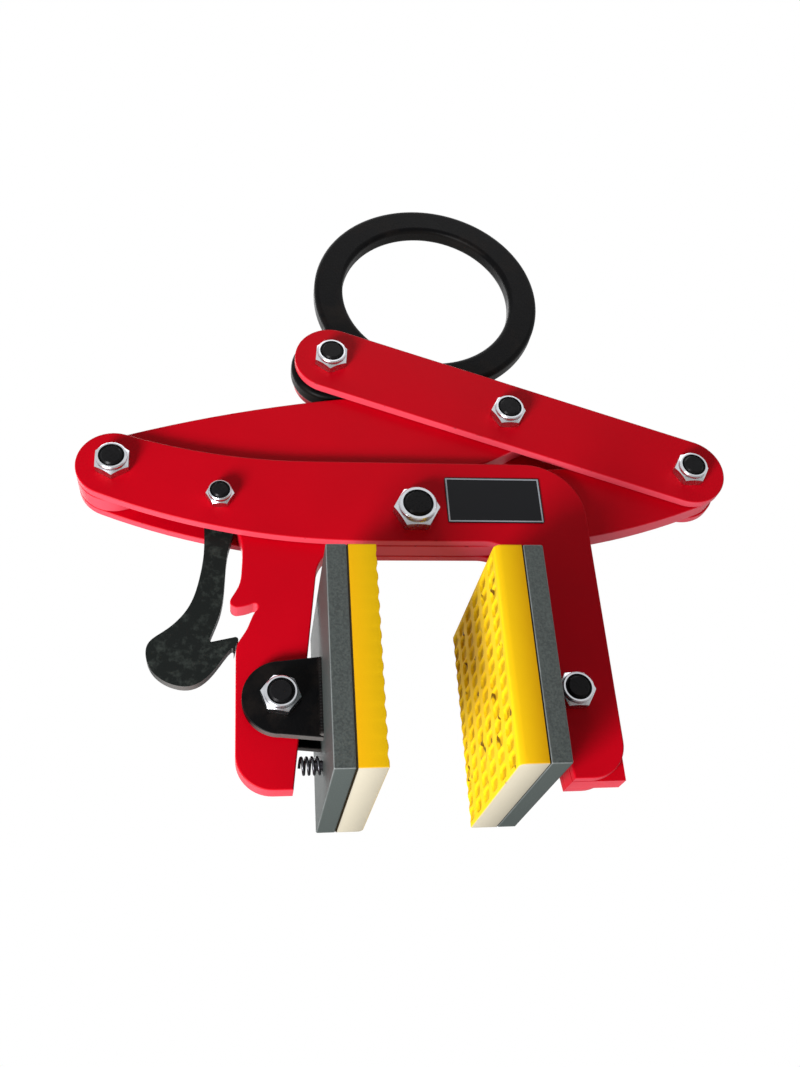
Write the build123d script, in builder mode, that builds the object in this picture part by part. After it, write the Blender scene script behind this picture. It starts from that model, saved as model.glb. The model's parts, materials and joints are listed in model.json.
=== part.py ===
"""Scissor lifting clamp for stone slabs, standing open on its two gripping pads.

Millimetres. X runs from the left jaw to the right jaw, Y from the nuts to the bolt heads,
Z up. The origin is on the floor, under the centre pivot, in the middle of the plates.
"""

import math
import os

from build123d import *

os.makedirs("parts", exist_ok=True)

# Plate layers, front to rear: side plate, inner plate, side plate
inner_plate = 16.0
side_plate = 8.0
layer_gap = 0.5
edge_round = 1.2

# Gripping pads and their backing plates
opening = 80.0
pad_thickness = 20.0
pad_depth = 160.0
pad_height = 152.0
jaw_plate_thickness = 14.0
pad_edge_round = 1.5

# Pivots, measured from the centre pivot
centre_height = 212.0
arm_end_x = 222.0
arm_end_z = 39.0
link_joint_x = 80.0
link_joint_z = 90.0
jaw_pivot_x = 102.0
jaw_pivot_drop = 143.0
latch_pivot_x = -144.0
latch_pivot_z = 12.0

# Arms
arm_end_radius = 27.0
beam_above_pivot = 44.0
beam_below_pivot = 24.0
beam_straight_half = 80.0
beam_lower_straight = 40.0
shoulder_radius = 45.0
leg_outer_x = 132.0
leg_foot_drop = 204.0
leg_foot_radius = 25.0
leg_inner_foot_x = 94.0
leg_inner_corner_radius = 25.0
leg_jaw_room = 2.5
foot_block_height = 30.0

# Latch tooth on the left leg: in from the leg's outer edge, down from the centre pivot
tooth_start = (0, -4)
tooth_neck = ((3.8, -22), (4, -40), (1.8, -56), (-3.7, -66.4))
tooth_tip = (1, -73.3)
tooth_root = ((11.5, -70.5), (14.6, -75))
tooth_flank = ((7.6, -89.5), (2.2, -98.6), (0, -110))
tooth_tip_way = (-0.5, -1)
tooth_depth = 22.0

# Links: the single link's belly hangs over the inner arm, the double link rises above its bolts
single_link_rise = 12.5
single_link_belly = ((-100, 47.5), (56, 47.5))
single_link_belly_round = 40.0
link_joint_play = 1.2
double_link_tail_length = 147.0
double_link_width = 58.0
double_link_rise = 1.5

# Lifting ring
ring_outer_radius = 95.5
ring_bore_radius = 71.5
ring_thickness = 15.0
ring_edge_round = 4.0
ring_boss_radius = 31.0
ring_boss_reach = 116.3
ring_lean = 43.0
ring_neck_round = 12.0

# Latch hook
latch_thickness = 8.0
latch_boss_radius = 12.0
latch_spacer_radius = 9.0

# Latch outline from its pivot: shank, finger lobe, prong and crook
latch_left_edge = ((-11.5, -44), (-14, -61), (-21, -83), (-35, -99.5))
latch_lobe = ((-48, -111), (-46, -128), (-27, -141.5), (-4, -132), (10.6, -116.5), (12.8, -110))
latch_prong_tip = ((13.5, -107), (11.8, -106))
latch_throat = ((-4, -109.4), (-6.1, -108.6), (-5.6, -106))
latch_right_edge = ((0.7, -88), (3.8, -64.5), (5.7, -40))
latch_lobe_way = (-1, -0.8)
latch_prong_way = (0.2, 1)
latch_throat_way = (0.35, 1)

# Jaw lugs
lug_end_radius = 26.0
lug_root_height = 58.0

# Springs between leg and jaw plate
spring_drop = 186.0
spring_wire = 2.0
spring_mean_radius = 5.5
spring_turns = 4
spring_seat_gap = 0.5
spring_points_per_turn = 24
peg_radius = 3.5
peg_length = 7.0
peg_chamfer = 1.0

# Rating plate
rating_width = 74.0
rating_height = 39.0
rating_thickness = 0.8
rating_centre_x = 61.0
rating_centre_z = 11.0
rating_corner = 1.5

# Bolts and lock nuts: thread, width across flats, head, nut hex and nut collar
pivot_clearance = 0.08
thread_clearance = 0.05
bolt_end_proud = 1.0
insert_wall = 1.4
fastener_sizes = {
    "M12": {"thread": 12.0, "flats": 18.0, "head": 7.5, "hex": 6.5, "collar": 3.5},
    "M16": {"thread": 16.0, "flats": 24.0, "head": 10.0, "hex": 8.0, "collar": 3.5},
    "M20": {"thread": 20.0, "flats": 30.0, "head": 12.5, "hex": 10.0, "collar": 4.5},
}
collar_share = 0.94
nut_turns = {"left_arm": 30.0, "ring": 24.0, "left_jaw": -10.0}  # degrees; the others have a corner level
nut_chamfer = 1.6
bolt_end_chamfer = 1.2

# Worked-out places
inner_half = inner_plate / 2
side_near = inner_half + layer_gap
side_far = side_near + side_plate
jaw_face_x = opening / 2
jaw_plate_x = jaw_face_x + pad_thickness
jaw_back_x = jaw_plate_x + jaw_plate_thickness
leg_inner_top_x = jaw_back_x + leg_jaw_room
leg_inner_top_drop = centre_height - pad_height
single_link_width = 2 * arm_end_radius
tail_share = double_link_tail_length / math.dist((arm_end_x, arm_end_z), (link_joint_x, link_joint_z))
ring_bolt_x = link_joint_x + tail_share * (link_joint_x - arm_end_x)
ring_bolt_z = link_joint_z + tail_share * (link_joint_z - arm_end_z)


def at(x, z):
    """A point of the XZ plane, given from the centre pivot."""
    return (x, z + centre_height)


def layer(y_rear):
    """Sketch plane whose extrusions run forward from the given depth."""
    return Plane.XZ.offset(-y_rear)


rear_layer = layer(side_far)
inner_layer = layer(inner_half)
front_layer = layer(-side_near)

pivots = {
    "left_arm": (-arm_end_x, arm_end_z, "M16"),
    "centre": (0.0, 0.0, "M20"),
    "right_arm": (arm_end_x, arm_end_z, "M16"),
    "ring": (ring_bolt_x, ring_bolt_z, "M16"),
    "link": (link_joint_x, link_joint_z, "M16"),
    "latch": (latch_pivot_x, latch_pivot_z, "M12"),
    "left_jaw": (-jaw_pivot_x, -jaw_pivot_drop, "M16"),
    "right_jaw": (jaw_pivot_x, -jaw_pivot_drop, "M16"),
}


def hole_radius(pivot, clearance=pivot_clearance):
    return fastener_sizes[pivots[pivot][2]]["thread"] / 2 + clearance


def place(pivot):
    return at(*pivots[pivot][:2])


def leg_inner_x(drop):
    """Inner edge of a leg at a depth below the centre pivot."""
    slope = (leg_inner_foot_x - leg_inner_top_x) / (leg_foot_drop - leg_inner_top_drop)
    return leg_inner_top_x + slope * (drop - leg_inner_top_drop)


def touch_point(centre, radius, end, end_radius):
    """Where an arc about centre meets the round arm end, both tangent there."""
    reach = math.dist(centre, end)
    sign = 1 if reach > radius else -1
    share = end_radius / reach * sign
    return tuple(e + share * (c - e) for c, e in zip(centre, end))


def arm_face(plane):
    """Outline of an arm with its long beam to the left and its leg on the right."""
    end = at(-arm_end_x, arm_end_z)
    top_z = at(0, beam_above_pivot)[1]
    low_z = at(0, -beam_below_pivot)[1]
    foot_z = at(0, -leg_foot_drop)[1]
    run = arm_end_x - beam_straight_half
    rise = end[1] - top_z
    top_radius = (run**2 + rise**2 - arm_end_radius**2) / (2 * (arm_end_radius + rise))
    top_meet = touch_point(
        (-beam_straight_half, top_z + top_radius), top_radius, end, arm_end_radius
    )
    run = arm_end_x - beam_lower_straight
    rise = end[1] - low_z
    low_radius = (run**2 + rise**2 - arm_end_radius**2) / (2 * (rise - arm_end_radius))
    low_meet = touch_point(
        (-beam_lower_straight, low_z + low_radius), low_radius, end, arm_end_radius
    )
    corner_x = leg_inner_x(beam_below_pivot)
    with BuildSketch(plane) as outline:
        with BuildLine():
            beam_top = Line((leg_outer_x, top_z), (-beam_straight_half, top_z))
            TangentArc(beam_top @ 1, top_meet, tangent=(-1, 0))
            ThreePointArc(top_meet, (end[0] - arm_end_radius, end[1]), low_meet)
            beam_low = Line((-beam_lower_straight, low_z), (corner_x, low_z))
            TangentArc(beam_low @ 0, low_meet, tangent=(-1, 0))
            Polyline(
                beam_low @ 1,
                (leg_inner_foot_x, foot_z),
                (leg_outer_x, foot_z),
                beam_top @ 0,
            )
        make_face()
        for corner, radius in (
            ((leg_outer_x, top_z), shoulder_radius),
            ((leg_outer_x, foot_z), leg_foot_radius),
            ((corner_x, low_z), leg_inner_corner_radius),
        ):
            fillet(outline.vertices().sort_by_distance(corner)[0], radius)
    return outline.sketch


def rounded_plate(face, thickness, cut_places, radius):
    """Plate from an outline, with its outer edges eased and round holes through it."""
    with BuildPart() as plate:
        extrude(face, amount=thickness)
        faces = plate.faces().filter_by(Axis.Y).sort_by(Axis.Y)
        fillet(faces[0].outer_wire().edges() + faces[-1].outer_wire().edges(), radius)
        for (x, z), hole in cut_places:
            with BuildSketch(Plane.XZ) as drill:
                with Locations((x, z)):
                    Circle(hole)
            extrude(drill.sketch, amount=2 * side_far, both=True, mode=Mode.SUBTRACT)
    return plate


def write(builder, name):
    builder.part.label = name
    export_step(builder.part, f"parts/{name}.step")


# Outer arm: two side plates from the left end to the right leg
outer_arm_holes = [
    (place(name), hole_radius(name)) for name in ("left_arm", "centre", "latch", "right_jaw")
]
outer_arm_front = rounded_plate(arm_face(front_layer), side_plate, outer_arm_holes, edge_round)
write(outer_arm_front, "outer_arm_front")
outer_arm_rear = rounded_plate(arm_face(rear_layer), side_plate, outer_arm_holes, edge_round)
write(outer_arm_rear, "outer_arm_rear")

# Block welded between the two side plates at the right foot, with a square outer corner
foot_block_drop = leg_foot_drop - foot_block_height
with BuildPart() as outer_arm_foot_block:
    with BuildSketch(layer(side_near)):
        with BuildLine():
            Polyline(
                at(leg_inner_x(foot_block_drop), -foot_block_drop),
                at(leg_inner_foot_x, -leg_foot_drop),
                at(leg_outer_x, -leg_foot_drop),
                at(leg_outer_x, -foot_block_drop),
                close=True,
            )
        make_face()
    extrude(amount=2 * side_near)
write(outer_arm_foot_block, "outer_arm_foot_block")

# Rating plate on the front of the outer arm, left blank
with BuildPart() as rating_plate:
    with BuildSketch(layer(-side_far)):
        with Locations(at(rating_centre_x, rating_centre_z)):
            RectangleRounded(rating_width, rating_height, rating_corner)
    extrude(amount=rating_thickness)
write(rating_plate, "rating_plate")

# Inner arm: one thick plate from the right end to the left leg, with the latch tooth
def on_leg(point):
    """A point of the tooth outline, given from the left leg's outer edge."""
    return at(point[0] - leg_outer_x, point[1])


with BuildSketch(inner_layer) as inner_arm_outline:
    add(arm_face(inner_layer))
    mirror(about=Plane.YZ, mode=Mode.REPLACE)
    with Locations(on_leg(tooth_start)):
        tooth_height = tooth_start[1] - tooth_flank[-1][1]
        Rectangle(
            tooth_depth, tooth_height, align=(Align.MIN, Align.MAX), mode=Mode.SUBTRACT
        )
    with BuildLine():
        neck = Spline(
            *map(on_leg, (tooth_start, *tooth_neck)), tangents=((0, -1), tooth_tip_way)
        )
        tip = TangentArc(neck @ 1, on_leg(tooth_tip), tangent=neck % 1)
        lip = TangentArc(tip @ 1, on_leg(tooth_root[0]), tangent=tip % 1)
        root = TangentArc(lip @ 1, on_leg(tooth_root[1]), tangent=lip % 1)
        flank = Spline(root @ 1, *map(on_leg, tooth_flank), tangents=(root % 1, (0, -1)))
        Polyline(
            flank @ 1,
            on_leg((tooth_depth, tooth_flank[-1][1])),
            on_leg((tooth_depth, tooth_start[1])),
            neck @ 0,
        )
    make_face()
inner_arm_holes = [
    (place(name), hole_radius(name)) for name in ("centre", "right_arm", "left_jaw")
]
inner_arm = rounded_plate(inner_arm_outline.sketch, inner_plate, inner_arm_holes, edge_round)
write(inner_arm, "inner_arm")

# Single link: an arched thick plate from the outer arm's left end to the link joint
with BuildSketch(inner_layer) as single_link_outline:
    with BuildLine(mode=Mode.PRIVATE):
        start, stop = Vector(*place("left_arm")), Vector(*place("link"))
        across = (stop - start).normalized().rotate(Axis.Z, 90)
        spine = ThreePointArc(start, (start + stop) / 2 + across * single_link_rise, stop)
        bend = Vector(*at(*single_link_belly[1]))
        turn = math.degrees(math.acos(arm_end_radius / (bend - stop).length))
        touch = stop + (bend - stop).normalized().rotate(Axis.Z, turn) * arm_end_radius
    SlotArc(spine, single_link_width)
    with BuildLine():
        Polyline(*(at(*point) for point in single_link_belly), touch, stop, close=True)
    make_face()
    for x, z in single_link_belly:
        nearest = single_link_outline.vertices().sort_by_distance(at(x, z))[0]
        fillet(nearest, single_link_belly_round)
single_link_holes = [
    (place("left_arm"), hole_radius("left_arm")),
    (place("link"), hole_radius("link", link_joint_play)),
]
single_link = rounded_plate(
    single_link_outline.sketch, inner_plate, single_link_holes, edge_round
)
write(single_link, "single_link")

# Double link: two side plates from the inner arm's right end past the joint to the ring bolt
double_link_holes = [(place(name), hole_radius(name)) for name in ("right_arm", "link", "ring")]
right_end, ring_end = Vector(*place("right_arm")), Vector(*place("ring"))
double_link_lift = (right_end - ring_end).normalized().rotate(Axis.Z, 90) * double_link_rise
double_link_middle = (right_end + ring_end) / 2 + double_link_lift
for name, plane in (("double_link_front", front_layer), ("double_link_rear", rear_layer)):
    with BuildSketch(plane) as double_link_outline:
        SlotCenterPoint(double_link_middle, ring_end + double_link_lift, double_link_width)
    double_link = rounded_plate(
        double_link_outline.sketch, side_plate, double_link_holes, edge_round
    )
    write(double_link, name)

# Lifting ring with the boss that turns on the ring bolt
with BuildPart() as lifting_ring:
    boss_x, boss_z = place("ring")
    lean = math.radians(ring_lean)
    eye = (boss_x + ring_boss_reach * math.cos(lean), boss_z + ring_boss_reach * math.sin(lean))
    with BuildSketch(layer(ring_thickness / 2)) as ring_outline:
        with Locations(eye):
            Circle(ring_outer_radius)
        with Locations((boss_x, boss_z)):
            Circle(ring_boss_radius)
        fillet(ring_outline.vertices().sort_by_distance((boss_x, boss_z))[:2], ring_neck_round)
        with Locations(eye):
            Circle(ring_bore_radius, mode=Mode.SUBTRACT)
    extrude(amount=ring_thickness)
    flats = lifting_ring.faces().filter_by(Axis.Y).sort_by(Axis.Y)
    fillet(flats[0].edges() + flats[-1].edges(), ring_edge_round)
    with BuildSketch(Plane.XZ) as boss_drill:
        with Locations((boss_x, boss_z)):
            Circle(hole_radius("ring"))
    extrude(amount=ring_thickness, both=True, mode=Mode.SUBTRACT)
write(lifting_ring, "lifting_ring")

# Latch hook: boss, shank, finger lobe and the prong that catches the tooth
def from_latch(point):
    """A point of the latch outline, given from the latch pivot."""
    return at(latch_pivot_x + point[0], latch_pivot_z + point[1])


with BuildSketch(layer(latch_thickness / 2)) as latch_outline:
    with BuildLine():
        boss_left = from_latch((-latch_boss_radius, 0))
        boss_right = from_latch((latch_boss_radius, 0))
        ThreePointArc(boss_right, from_latch((0, latch_boss_radius)), boss_left)
        left_edge = Spline(
            boss_left, *map(from_latch, latch_left_edge), tangents=((0, -1), latch_lobe_way)
        )
        lobe = Spline(
            left_edge @ 1, *map(from_latch, latch_lobe), tangents=(latch_lobe_way, latch_prong_way)
        )
        prong_tip = ThreePointArc(lobe @ 1, *map(from_latch, latch_prong_tip))
        throat = ThreePointArc(*map(from_latch, latch_throat))
        Line(prong_tip @ 1, throat @ 0)
        Spline(
            throat @ 1,
            *map(from_latch, latch_right_edge),
            boss_right,
            tangents=(latch_throat_way, (0, 1)),
        )
    make_face()
    with Locations(place("latch")):
        Circle(hole_radius("latch"), mode=Mode.SUBTRACT)
with BuildPart() as latch_hook:
    extrude(latch_outline.sketch, amount=latch_thickness)
write(latch_hook, "latch_hook")

# Spacers that centre the latch between the outer arm's plates
with BuildPart() as latch_spacers:
    for y_rear in (side_near, -latch_thickness / 2 - layer_gap):
        with BuildSketch(layer(y_rear)):
            with Locations(place("latch")):
                Circle(latch_spacer_radius)
                Circle(hole_radius("latch"), mode=Mode.SUBTRACT)
        extrude(amount=side_near - latch_thickness / 2 - layer_gap)
write(latch_spacers, "latch_spacers")


def lug_face(plane, side):
    """Round-ended ear from the back of a jaw plate to the jaw pivot; side is -1 or 1."""
    pivot_x, pivot_z = at(side * jaw_pivot_x, -jaw_pivot_drop)
    root_x = side * jaw_back_x
    with BuildSketch(plane) as lug:
        with Locations((pivot_x, pivot_z)):
            Circle(lug_end_radius)
        with BuildLine():
            Polyline(
                (pivot_x, pivot_z + lug_end_radius),
                (root_x, pivot_z + lug_root_height / 2),
                (root_x, pivot_z - lug_root_height / 2),
                (pivot_x, pivot_z - lug_end_radius),
                close=True,
            )
        make_face()
    return lug.sketch


def spring_path(side):
    """Points and directions along one coil, a quarter turn apart, from plate to leg."""
    start_x = jaw_back_x + spring_seat_gap + spring_wire / 2
    stop_x = leg_inner_x(spring_drop) - spring_seat_gap - spring_wire
    advance = (stop_x - start_x) / spring_turns
    z = centre_height - spring_drop
    stations = []
    for quarter in range(4 * spring_turns + 1):
        turn = quarter * math.pi / 2
        point = Vector(
            side * (start_x + advance * quarter / 4),
            spring_mean_radius * math.cos(turn),
            z + spring_mean_radius * math.sin(turn),
        )
        heading = Vector(
            side * advance / (2 * math.pi),
            -spring_mean_radius * math.sin(turn),
            spring_mean_radius * math.cos(turn),
        ).normalized()
        stations.append((point, heading))
    return stations


def biarc_middle(start, start_way, stop, stop_way):
    """Point where two tangent arcs of equal reach meet between two stations."""
    chord = stop - start
    both = start_way + stop_way
    a = 2 * (1 - start_way.dot(stop_way))
    b = 2 * chord.dot(both)
    reach = (-b + math.sqrt(b * b + 4 * a * chord.dot(chord))) / (2 * a)
    return (start + stop) / 2 + (start_way - stop_way) * (reach / 2)


def least_gap(path):
    """Smallest clear distance between stretches of a coil at least half a turn apart."""
    steps = spring_turns * spring_points_per_turn
    points = path.positions([step / steps for step in range(steps + 1)])
    apart = spring_points_per_turn // 2
    reaches = [(a - b).length for i, a in enumerate(points) for b in points[i + apart :]]
    return min(reaches) - spring_wire


# Jaws: backing plate, ears, pad, spring and the peg that holds the spring
for side_name, side in (("left", -1), ("right", 1)):
    with BuildPart() as jaw_plate:
        with Locations((side * (jaw_plate_x + jaw_plate_thickness / 2), 0, pad_height / 2)):
            Box(jaw_plate_thickness, pad_depth, pad_height)
        fillet(jaw_plate.edges(), edge_round)
    write(jaw_plate, f"{side_name}_jaw_plate")

    with BuildPart() as pad:
        with Locations((side * (jaw_face_x + pad_thickness / 2), 0, pad_height / 2)):
            Box(pad_thickness, pad_depth, pad_height)
        fillet(pad.edges(), pad_edge_round)
    write(pad, f"{side_name}_pad")

    jaw_hole = [(place(f"{side_name}_jaw"), hole_radius(f"{side_name}_jaw"))]
    if side < 0:
        for ear, plane in (("front", front_layer), ("rear", rear_layer)):
            lug = rounded_plate(lug_face(plane, side), side_plate, jaw_hole, edge_round)
            write(lug, f"left_jaw_lug_{ear}")
    else:
        lug = rounded_plate(lug_face(inner_layer, side), inner_plate, jaw_hole, edge_round)
        write(lug, "right_jaw_lug")

    stations = spring_path(side)
    with BuildPart() as spring:
        with BuildLine() as coil:
            (start, start_way), (stop, stop_way) = stations[0], stations[-1]
            wire_start = Line(start - start_way * spring_wire, start)
            for (point, way), (next_point, next_way) in zip(stations, stations[1:]):
                middle = biarc_middle(point, way, next_point, next_way)
                first = TangentArc(point, middle, tangent=way)
                TangentArc(middle, next_point, tangent=first % 1)
            Line(stop, stop + stop_way * spring_wire)
        with BuildSketch(Plane(origin=wire_start @ 0, z_dir=start_way)):
            Circle(spring_wire / 2)
        sweep(path=coil.wires()[0])
    print(f"{side_name} spring: least gap to itself {least_gap(coil.wires()[0]):.2f} mm")
    write(spring, f"{side_name}_spring")

    with BuildPart() as spring_peg:
        peg_plane = Plane(
            origin=(side * jaw_back_x, 0, centre_height - spring_drop), z_dir=(side, 0, 0)
        )
        with BuildSketch(peg_plane):
            Circle(peg_radius)
        extrude(amount=peg_length)
        chamfer(spring_peg.faces().sort_by(Axis.X)[-1 if side > 0 else 0].edges(), peg_chamfer)
    write(spring_peg, f"{side_name}_spring_peg")

# Bolts with heads at the rear, lock nuts at the front and their nylon inserts
for name, (x, z, size) in pivots.items():
    form = fastener_sizes[size]
    thread = form["thread"] / 2
    corner = form["flats"] / 2 / math.cos(math.pi / 6)
    collar = form["flats"] / 2 * collar_share
    nut_height = form["hex"] + form["collar"]
    px, pz = at(x, z)
    front = Plane(origin=(px, -side_far, pz), x_dir=(1, 0, 0), z_dir=(0, -1, 0))
    front_cut = Plane(origin=(px, -side_far, pz), x_dir=(1, 0, 0), z_dir=(0, 0, -1))
    front_axis = Axis((px, -side_far, pz), (0, -1, 0))
    head = Plane(origin=(px, side_far, pz), x_dir=(1, 0, 0), z_dir=(0, 1, 0))
    head_cut = Plane(origin=(px, side_far, pz), x_dir=(1, 0, 0), z_dir=(0, 0, 1))
    head_axis = Axis((px, side_far, pz), (0, 1, 0))

    with BuildPart() as bolt:
        with BuildSketch(head):
            RegularPolygon(corner, 6)
        extrude(amount=form["head"])
        with BuildSketch(head_cut):
            with BuildLine():
                Polyline(
                    (0, 0),
                    (corner, 0),
                    (corner, form["head"] - nut_chamfer),
                    (corner - 2 * nut_chamfer, form["head"]),
                    (0, form["head"]),
                    close=True,
                )
            make_face()
        revolve(axis=head_axis, mode=Mode.INTERSECT)
        with BuildSketch(front):
            Circle(thread)
        extrude(amount=-2 * side_far)
        with BuildSketch(front):
            Circle(thread)
        extrude(amount=nut_height + bolt_end_proud)
        chamfer(bolt.faces().sort_by(Axis.Y)[0].edges(), bolt_end_chamfer)
    write(bolt, f"{name}_bolt")

    with BuildPart() as nut:
        with BuildSketch(front):
            RegularPolygon(corner, 6, rotation=nut_turns.get(name, 0.0))
        extrude(amount=nut_height)
        with BuildSketch(front_cut):
            with BuildLine():
                Polyline(
                    (0, 0),
                    (corner - nut_chamfer, 0),
                    (corner, nut_chamfer / 2),
                    (corner, form["hex"] - nut_chamfer),
                    (collar, form["hex"]),
                    (collar, nut_height - nut_chamfer / 2),
                    (collar - nut_chamfer / 2, nut_height),
                    (0, nut_height),
                    close=True,
                )
            make_face()
        revolve(axis=front_axis, mode=Mode.INTERSECT)
        with BuildSketch(front):
            Circle(thread + thread_clearance)
        extrude(amount=nut_height, mode=Mode.SUBTRACT)
        with BuildSketch(front.offset(form["hex"])):
            Circle(thread + insert_wall)
        extrude(amount=form["collar"], mode=Mode.SUBTRACT)
    write(nut, f"{name}_nut")

    with BuildPart() as insert:
        with BuildSketch(front.offset(form["hex"])):
            Circle(thread + insert_wall)
            Circle(thread + thread_clearance, mode=Mode.SUBTRACT)
        extrude(amount=form["collar"] - nut_chamfer / 2)
    write(insert, f"{name}_nut_insert")
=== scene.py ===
import json
import math

import bpy
from mathutils import Matrix, Vector


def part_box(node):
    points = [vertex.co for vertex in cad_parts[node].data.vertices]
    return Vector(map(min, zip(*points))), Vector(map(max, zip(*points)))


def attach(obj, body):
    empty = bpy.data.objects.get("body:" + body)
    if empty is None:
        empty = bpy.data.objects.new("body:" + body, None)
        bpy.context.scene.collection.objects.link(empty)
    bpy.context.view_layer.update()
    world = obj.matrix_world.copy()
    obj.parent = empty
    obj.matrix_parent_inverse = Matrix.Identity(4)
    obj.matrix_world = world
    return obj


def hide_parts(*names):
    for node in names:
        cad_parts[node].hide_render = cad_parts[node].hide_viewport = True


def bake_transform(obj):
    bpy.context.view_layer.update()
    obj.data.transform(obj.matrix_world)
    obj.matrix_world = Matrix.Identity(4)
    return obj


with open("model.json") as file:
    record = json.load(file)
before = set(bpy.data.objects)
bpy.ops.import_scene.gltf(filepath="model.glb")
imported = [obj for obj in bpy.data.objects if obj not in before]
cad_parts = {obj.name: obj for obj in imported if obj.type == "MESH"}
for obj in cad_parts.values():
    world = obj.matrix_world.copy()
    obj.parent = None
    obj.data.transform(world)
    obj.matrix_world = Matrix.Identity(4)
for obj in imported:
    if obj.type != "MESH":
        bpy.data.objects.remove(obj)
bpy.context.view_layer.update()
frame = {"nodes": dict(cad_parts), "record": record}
scene = bpy.context.scene
scene.view_settings.view_transform = "Standard"


def fromHex(text):  # sRGB hex to the linear colour that shaders use
    parts = [int(text[i:i + 2], 16) / 255 for i in (1, 3, 5)]
    return (*(p / 12.92 if p <= 0.04045 else ((p + 0.055) / 1.055) ** 2.4 for p in parts), 1.0)


def perMetre(mm):  # texture scale of a pattern that is this many millimetres across
    return 1000.0 / mm


noiseLow, noiseHigh = 0.3, 0.7  # nearly all of a noise texture's values lie between these
bumpDepth = 0.001  # metres, for every fine bump


def addNode(tree, kind, props, ins):  # a socket among the inputs is linked, anything else is set
    node = tree.nodes.new(kind)
    for name, value in props.items():
        setattr(node, name, value)
    for name, value in ins.items():
        if isinstance(value, bpy.types.NodeSocket):
            tree.links.new(value, node.inputs[name])
        else:
            node.inputs[name].default_value = value
    return node


def newMaterial(name, constants):  # a material with one shader, its constants on the shader's sockets
    material = bpy.data.materials.new(name)
    material.use_nodes = True
    tree = material.node_tree
    shader = tree.nodes["Principled BSDF"]
    for socket, value in constants.items():
        shader.inputs[socket].default_value = value
    return material, tree, shader


def surfaceParts(tree):  # place and facing in the piece's own space, so both turn with the body
    place = addNode(tree, "ShaderNodeTexCoord", {}, {}).outputs["Object"]
    world = addNode(tree, "ShaderNodeNewGeometry", {}, {}).outputs["Normal"]
    turned = addNode(
        tree, "ShaderNodeVectorTransform",
        {"vector_type": "NORMAL", "convert_from": "WORLD", "convert_to": "OBJECT"}, {"Vector": world},
    ).outputs[0]
    flat = addNode(tree, "ShaderNodeVectorMath", {"operation": "ABSOLUTE"}, {0: turned}).outputs[0]
    return place, *(addNode(tree, "ShaderNodeSeparateXYZ", {}, {0: way}).outputs for way in (turned, flat))


# Sprayed enamel: deep red, a little orange peel, thin on the cut walls, chipped on the rims; walls that face
# down are painted pale pink as painted light from below
redEnamelLook = {
    # the pale pink for walls that face down is painted light from below
    "paint": "#C00016", "deep": "#A80010", "wall": "#D2182C", "under": "#D64F60", "chip": "#4A1C1C",
    "blotchMm": 90.0, "peelMm": 3.2, "chipMm": 4.5, "peelBump": 0.04, "rough": (0.3, 0.44), "specular": 0.07,
    "wallFacing": (0.9, 0.3), "wallShare": 0.75, "underFacing": (-0.3, -0.9),
    "chipNoise": (0.62, 0.68), "chipShare": 2.2,
}


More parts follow.
